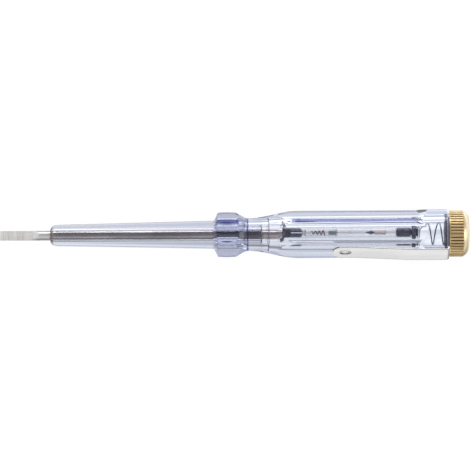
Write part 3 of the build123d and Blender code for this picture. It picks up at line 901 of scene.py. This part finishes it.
def make_electrodes():
    """The lamp's front electrode, wound of wire in a widening coil, and the rear one, a cup."""
    coil_front, coil_length, coil_turns = 92.97, 3.9, 3.5
    path = []
    for share in evenly(0, 1, 140):
        path.append(about_axis(coil_front + coil_length * share, 0.6 + 0.55 * share,
                               math.tau * coil_turns * share, TRAIN_Y, TRAIN_Z))
    piece("wound_electrode", *tube_along(path, 0.2), "tester", ["front_electrode"], copper_metal)
    front, rear = ends("rear_electrode")
    floor, outer, inner = rear - 0.18, 1.05, 0.85
    cup = [(floor, 0.0), (floor, inner), (front, inner), (front, outer), (rear, outer), (rear, 0.0)]
    inner_piece("cup_electrode", cup, "rear_electrode", electrode_metal, around=48, soft=0.05)


def make_resistor():
    """The pointed solder joint and the dumbbell-shaped resistor behind it."""
    front, rear = ends("solder_cone")
    joint = [(front, 0), (front, LEAD_RADIUS), (110.9, 1.0), (111.21, 0.5), (rear, 0.5), (rear, 0)]
    inner_piece("solder_joint", joint, "solder_cone", solder_metal, around=48, soft=0.12)
    front, rear = ends("resistor_body")
    end, bulge, middle, inset = 0.75, 1.05, ((front + rear) / 2, 0.94), 0.25
    body = [(front, 0), (front, end)] + hermite((front + inset, bulge), middle, 0, 0, 12)
    body += hermite(middle, (rear - inset, bulge), 0, 0, 12)[1:] + [(rear, end), (rear, 0)]
    inner_piece("series_resistor", body, "resistor_body", resistor_lacquer, around=48, soft=0.1)


def make_seat():
    """The flanged contact between cartridge and spring."""
    front, rear = ends("spring_seat")
    flange, flange_front, flange_rear = 3.15, 122.8, 123.95
    disc, pin, chamfer = 1.4, 1.9, 0.15
    outline = [(front, 0), (front, disc), (flange_front, disc), (flange_front, flange - chamfer),
               (flange_front + chamfer, flange), (flange_rear - chamfer, flange),
               (flange_rear, flange - chamfer), (flange_rear, pin), (rear - chamfer, pin),
               (rear, pin - chamfer), (rear, 0)]
    inner_piece("spring_contact", outline, "spring_seat", contact_plate)


def make_spring():
    """The spring: close turns on the seat, wide open turns, close turns in the cap."""
    start, end = 124.2, 138.35
    front_turns, open_turns, rear_turns = 1.5, 3.5, 1.25
    front_pitch, rear_pitch = 1.05, 0.95
    open_pitch = (end - start - front_turns * front_pitch - rear_turns * rear_pitch) / open_turns
    front_radius, rear_radius, wire_radius = 2.5, 3.3, 0.2
    path = []
    for turn in evenly(0, front_turns + open_turns + rear_turns, 450):
        opened = min(max(turn - front_turns, 0), open_turns)
        closed = max(turn - front_turns - open_turns, 0)
        x = start + min(turn, front_turns) * front_pitch + opened * open_pitch + closed * rear_pitch
        wide = clamp(turn - front_turns)
        radius = front_radius + (rear_radius - front_radius) * wide
        path.append(about_axis(x, radius, math.tau * turn, TRAIN_Y * (1 - wide), TRAIN_Z * (1 - wide)))
    shape = tube_along(path, wire_radius, 14)
    spring = piece("conical_spring", *shape, None, ["coil_spring"], spring_steel)
    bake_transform(spring)


# The clip

CLIP_TURN = math.radians(60)
CLIP_SHEET, CLIP_HALF_WIDTH = 0.4, 2.65
TIP_CENTRE = CLIP_TIP + CLIP_HALF_WIDTH
# The arm's inner face rises from one height to the other, and bends at the end of it.
ARM_LOW, ARM_HIGH, ARM_END, BEND_RADIUS = 6.46, 7.4, 132.9, 0.4
DIMPLE_X, DIMPLE_HALF_LENGTH, DIMPLE_HALF_WIDTH = 102.85, 1.75, 0.95


def along_clip(x, side, height):
    """A point of the clip, which lies along the flat that faces up and towards -Y."""
    return (x, -height * math.sin(CLIP_TURN) + side * math.cos(CLIP_TURN),
            height * math.cos(CLIP_TURN) + side * math.sin(CLIP_TURN))


def dimple_reach(x, side):
    """How far a place on the arm is from the dimple's middle, with 1 at its edge."""
    return math.hypot((x - DIMPLE_X) / DIMPLE_HALF_LENGTH, side / DIMPLE_HALF_WIDTH)


def dimple_drop(x, side):
    """How deep the pressed dimple is at a place on the arm."""
    return 0.19 * eased(clamp((1 - dimple_reach(x, side)) / 0.42))


def clip_path():
    """Places along the arm from its tip to the bend, each with its inner face's height."""
    stations = [CLIP_TIP + CLIP_HALF_WIDTH * (1 - math.cos(turn))
                for turn in evenly(0, math.pi / 2, 14)]
    stations += evenly(TIP_CENTRE, TIP_CENTRE + 3.15, 21)[1:]
    stations += [105.2, 106.0, 108.0, 111.0, 114.0, 117.0, 120.0, 122.0, 123.0, 124.0, 127.0,
                 130.0, 132.0, ARM_END]
    path = []
    for x in stations:
        slope = clamp((x - 105.0) / 18.0)
        path.append((x, ARM_LOW + (ARM_HIGH - ARM_LOW) * (eased(slope) * 0.25 + slope * 0.75)))
    return path


def strip_section(x, low):
    """The arm's section as sides and heights: inner face, edge, outer face and other edge."""
    back = TIP_CENTRE - x
    half = math.sqrt(max(CLIP_HALF_WIDTH ** 2 - back ** 2, 0.0004)) if back > 0 else CLIP_HALF_WIDTH
    soft = min(0.1, half * 0.5)
    middle = low + CLIP_SHEET / 2
    section = []
    for way, dent in ((1, 1.0), (-1, 1.6)):
        for side in evenly(way * (soft - half), way * (half - soft), 24):
            face = middle - way * CLIP_SHEET / 2
            section.append((side, face - dimple_drop(x, side) * dent))
        for turn in evenly(0, math.pi, 6)[1:-1]:
            section.append((way * (half - soft + soft * math.sin(turn)),
                            middle - way * CLIP_SHEET / 2 * math.cos(turn)))
    return section


def make_clip():
    """The nickel-plated clip: one strip from its round tip to the ring under the cap."""
    rings = [[along_clip(x, *place) for place in strip_section(x, low)] for x, low in clip_path()]
    section = strip_section(ARM_END, ARM_HIGH)
    thickening = 0.15 / CLIP_SHEET
    for share in evenly(0, 1, 6)[1:]:
        turn = math.pi / 2 * share
        ring = []
        for side, height in section:
            reach = BEND_RADIUS + (height - ARM_HIGH) * (1 + thickening * share)
            ring.append(along_clip(ARM_END + reach * math.sin(turn), side,
                                   ARM_HIGH - BEND_RADIUS + reach * math.cos(turn)))
        rings.append(ring)
    foot_height = 6.2
    rings.append([along_clip(x, side, foot_height) for (x, _, _), (side, _) in zip(rings[-1], section)])

    front, rear = ends("clip_ring")
    inner, outer = 5.33, 6.9
    outline = [(front, inner), (front, outer), (rear, outer), (rear, inner), (front, inner)]
    ring = turned(softened(outline, 0.08)[1:-1] + [(front, inner + 0.07)], closed=True)
    shape = joined(lofted(rings), ring)
    clip = piece("pocket_clip", *shape, None, ["clip_arm", "clip_ring"], clip_nickel)
    mark_points(clip, "grime", clip_shade_depth)
    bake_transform(clip)


def clip_shade_depth(x, r, turn):
    """How dark painted shade makes the clip: its ring under the cap, its tip's edge and the dimple's
    walls.
    """
    if x > GRIP_REAR - 0.1:
        return 0.9 if r < 6.95 and abs(turn) > 52 else 0.0
    side = r * math.sin(math.radians(150 - turn))
    if x < 101.1:
        half = math.sqrt(max(CLIP_HALF_WIDTH ** 2 - (TIP_CENTRE - x) ** 2, 0.0))
        return 0.9 if half - abs(side) < 0.15 and side > -0.9 else 0.0
    outer_face = 6.7
    if r < outer_face or not 0.55 < dimple_reach(x, side) < 1.05:
        return 0.0
    return 0.85 if side < -0.2 else 0.5 if x > 103.7 else 0.0


# The cap

CAP_RADIUS, CAP_BORE = 6.9, 5.3
GROOVES, POINTS_A_GROOVE, GROOVE_DEPTH = 44, 10, 0.3


def make_cap():
    """The domed brass cap with its knurl cut between two plain rims."""
    knurl_start, knurl_end, dome_start = (134.16, CAP_RADIUS), (137.7, CAP_RADIUS), (138.1, 6.8)
    outline = [(CAP_FRONT, CAP_BORE), (CAP_FRONT, 6.82), (133.87, 6.88)]
    outline += [(x, CAP_RADIUS) for x in (133.92, 134.0, 134.06)]
    outline += spread(knurl_start, knurl_end, 8)
    outline += [(137.85, CAP_RADIUS), (138.0, 6.86)]
    outline += arc_through(dome_start, (139.37, 5.75), (139.95, 4.1), 18)
    outline += [(139.99, 3.85), (CAP_REAR, 3.5), (CAP_REAR, 0.0)]
    around = POINTS_A_GROOVE * GROOVES
    rings = []
    for x, r in outline:
        cut = clamp((x - KNURL_FRONT) / 0.12) * clamp((KNURL_REAR - x) / 0.3)
        ring = []
        for j in range(around):
            off = abs((j / POINTS_A_GROOVE + 0.5) % 1 - 0.5) * 2
            deep = max(1 - off / 0.52, 0) ** 1.2 * cut
            ring.append(about_axis(x, r - GROOVE_DEPTH * deep, math.tau * j / around))
        rings.append(ring)
    roof = 138.6
    for x, r in ((roof, 0.0), (roof, CAP_BORE - 0.1), (roof - 0.1, CAP_BORE), (136.0, CAP_BORE)):
        rings.append([about_axis(x, r, math.tau * j / around) for j in range(around)])
    cap = piece("knurled_cap", *lofted(rings, closed=True), "cap", ["brass_cap"], cap_brass)
    mark_points(cap, "groove", groove_depth)


def groove_depth(x, r, turn):
    """How deep a point of the cap lies in its knurl."""
    if not 134.0 <= x <= 138.05 or r < CAP_BORE + 0.2:
        return 0.0
    return clamp((CAP_RADIUS - r) / GROOVE_DEPTH)


make_grip()
make_sleeve()
make_probe()
make_dish()
make_cartridge()
make_glass()
make_leads()
make_electrodes()
make_resistor()
make_seat()
make_spring()
make_clip()
make_cap()


# The floor, the light and the camera

# Painted shadow and light on the floor, seen only through clear plastic and in metal: how bright
# it is at a distance to the side, in millimetres.
PAINTED_FLOOR_BANDS = ((-150, 0.6), (-60, 0.7), (-30, 0.85), (-15, 0.15), (-9, 0.32), (-6, 0.6), (0, 0.52),
               (2, 0.4), (4, 0.75), (6, 0.65), (9, 0.3), (15, 1.15), (25, 0.85), (40, 0.3),
               (70, 0.6), (150, 0.8))
BANDS_WIDTH = 300
# The heights at which a wall of the room has its levels, and the level right overhead.
WALL_HEIGHTS, CEILING = (0.0, 0.2, 0.4, 0.65, 1.0), 0.23
WHITE, BLACK = (1, 1, 1, 1), (0, 0, 0, 1)


def make_floor():
    """A pale floor, white to the camera past the tool's faint shadow, with painted shadow and light in
    gloss.
    """
    size, drop = 1.5, 0.04 * MM
    mesh = bpy.data.meshes.new("floor")
    mesh.from_pydata([(-size, -size, 0), (size, -size, 0), (size, size, 0), (-size, size, 0)], [],
                     [(0, 1, 2, 3)])
    floor = in_scene("floor", mesh)
    floor.location.z = -drop

    made, tree = new_tree("white floor")
    matt = tree.node("ShaderNodeBsdfDiffuse", None, {"Color": (0.9, 0.9, 0.91, 1)})
    x, y = coordinates(tree, tree.node("ShaderNodeNewGeometry", None, None, "Position"), 2)
    off_axis = y - AXIS_START.y
    # Painted light: the floor glows brighter under the grip's rear, in gloss and clear plastic.
    painted_rear_light = past(x, 124, 0.25) * (1 - off_axis.absolute() / (12 * MM)).clamped()
    # Painted shadow and light: bands across the floor, brighter and darker to the side of the axis.
    stops = [(0.5 + place / BANDS_WIDTH, (level, level * 1.01, level * 1.04))
             for place, level in PAINTED_FLOOR_BANDS]
    lit = tree.node("ShaderNodeValToRGB", {"stops": stops}, {0: off_axis / (BANDS_WIDTH * MM) + 0.5})
    camera_ray = ray(tree, "Camera")
    strength = camera_ray * 1.06 + (1 - camera_ray) * (painted_rear_light * 0.5 + 1.38)
    white = tree.node("ShaderNodeEmission", None,
                      {"Color": camera_ray.mixed(lit, WHITE), "Strength": strength})
    share = seen_ray(tree) - camera_ray * 0.15
    finish_tree(tree, tree.node("ShaderNodeMixShader", None, {0: share, 1: matt, 2: white}))
    mesh.materials.append(made)


def seen_ray(tree):
    """1 for rays from the camera, from a gloss or through something clear."""
    rays = [ray(tree, kind) for kind in ("Camera", "Glossy", "Transmission")]
    return (rays[0] + rays[1] + rays[2]).clamped()


def make_world():
    """White to the camera, plain light on matt things, and a room in gloss and clear plastic."""
    world = bpy.data.worlds.new("studio")
    world.use_nodes = True
    world.node_tree.nodes.clear()
    tree = Wire(world.node_tree)
    x, y, up = coordinates(tree, tree.node("ShaderNodeTexCoord", None, None, "Generated"), 3)
    nearly_nothing = 0.000001
    level = x * x + y * y + nearly_nothing
    room = None
    for reach, levels in ((x, (0.46, 0.5, 0.56, 0.56)), (0 - x, (0.42, 0.43, 0.48, 0.8)),
                          (y, (0.52, 0.35, 0.26, 0.05)), (0 - y, (0.36, 0.18, 0.15, 0.7))):
        stops = [(height, (lit, lit, lit * 1.12))
                 for height, lit in zip(WALL_HEIGHTS, (*levels, CEILING))]
        wall = tree.node("ShaderNodeValToRGB", {"stops": stops}, {0: up})
        facing = reach.at_least(0.0)
        wall = (facing * facing / level).mixed(BLACK, wall)
        if room is None:
            room = wall
        else:
            room = tree.node("ShaderNodeVectorMath", {"operation": "ADD"}, {0: room, 1: wall})
    camera_ray = ray(tree, "Camera")
    seen = seen_ray(tree)
    colour = camera_ray.mixed(seen.mixed((0.75, 0.75, 0.75, 1), room), WHITE)
    strength = (seen - camera_ray) * 0.25 + 1
    shade = tree.node("ShaderNodeBackground", None, {"Color": colour, "Strength": strength})
    out = tree.tree.nodes.new("ShaderNodeOutputWorld")
    tree.tree.links.new(shade.socket, out.inputs["Surface"])
    bpy.context.scene.world = world


def make_lamp(name, place, size, power):
    """A soft lamp that faces the tool."""
    data = bpy.data.lights.new(name, "AREA")
    data.shape = "RECTANGLE"
    data.size, data.size_y = size
    data.energy = power
    lamp = in_scene(name, data)
    lamp.location = place
    lamp.rotation_euler = (-Vector(place)).to_track_quat("-Z", "Y").to_euler()


def make_camera():
    """The photograph's view: from almost straight above, through a long lens."""
    high, tilt, distance = math.radians(83.3), math.radians(-0.3), 1.0
    target = in_frame((70.1, -0.1, 0))
    data = bpy.data.cameras.new("camera")
    data.sensor_width = 36
    data.lens = 256.6
    camera = in_scene("camera", data)
    back = Vector((0, -math.cos(high), math.sin(high)))
    camera.location = target + back * distance
    turn = (-back).to_track_quat("-Z", "Y").to_matrix().to_4x4()
    roll = Matrix.Rotation(tilt, 4, "Z")
    camera.matrix_world = Matrix.Translation(camera.location) @ turn @ roll
    bpy.context.scene.camera = camera


make_floor()
make_world()
make_lamp("window side softbox", place=(-0.1, 0.6, 0.3), size=(0.9, 0.3), power=2.2)
make_lamp("end softbox", place=(0.6, -0.1, 0.3), size=(0.4, 0.3), power=0.8)
make_camera()
bpy.context.scene.view_settings.view_transform = "Standard"
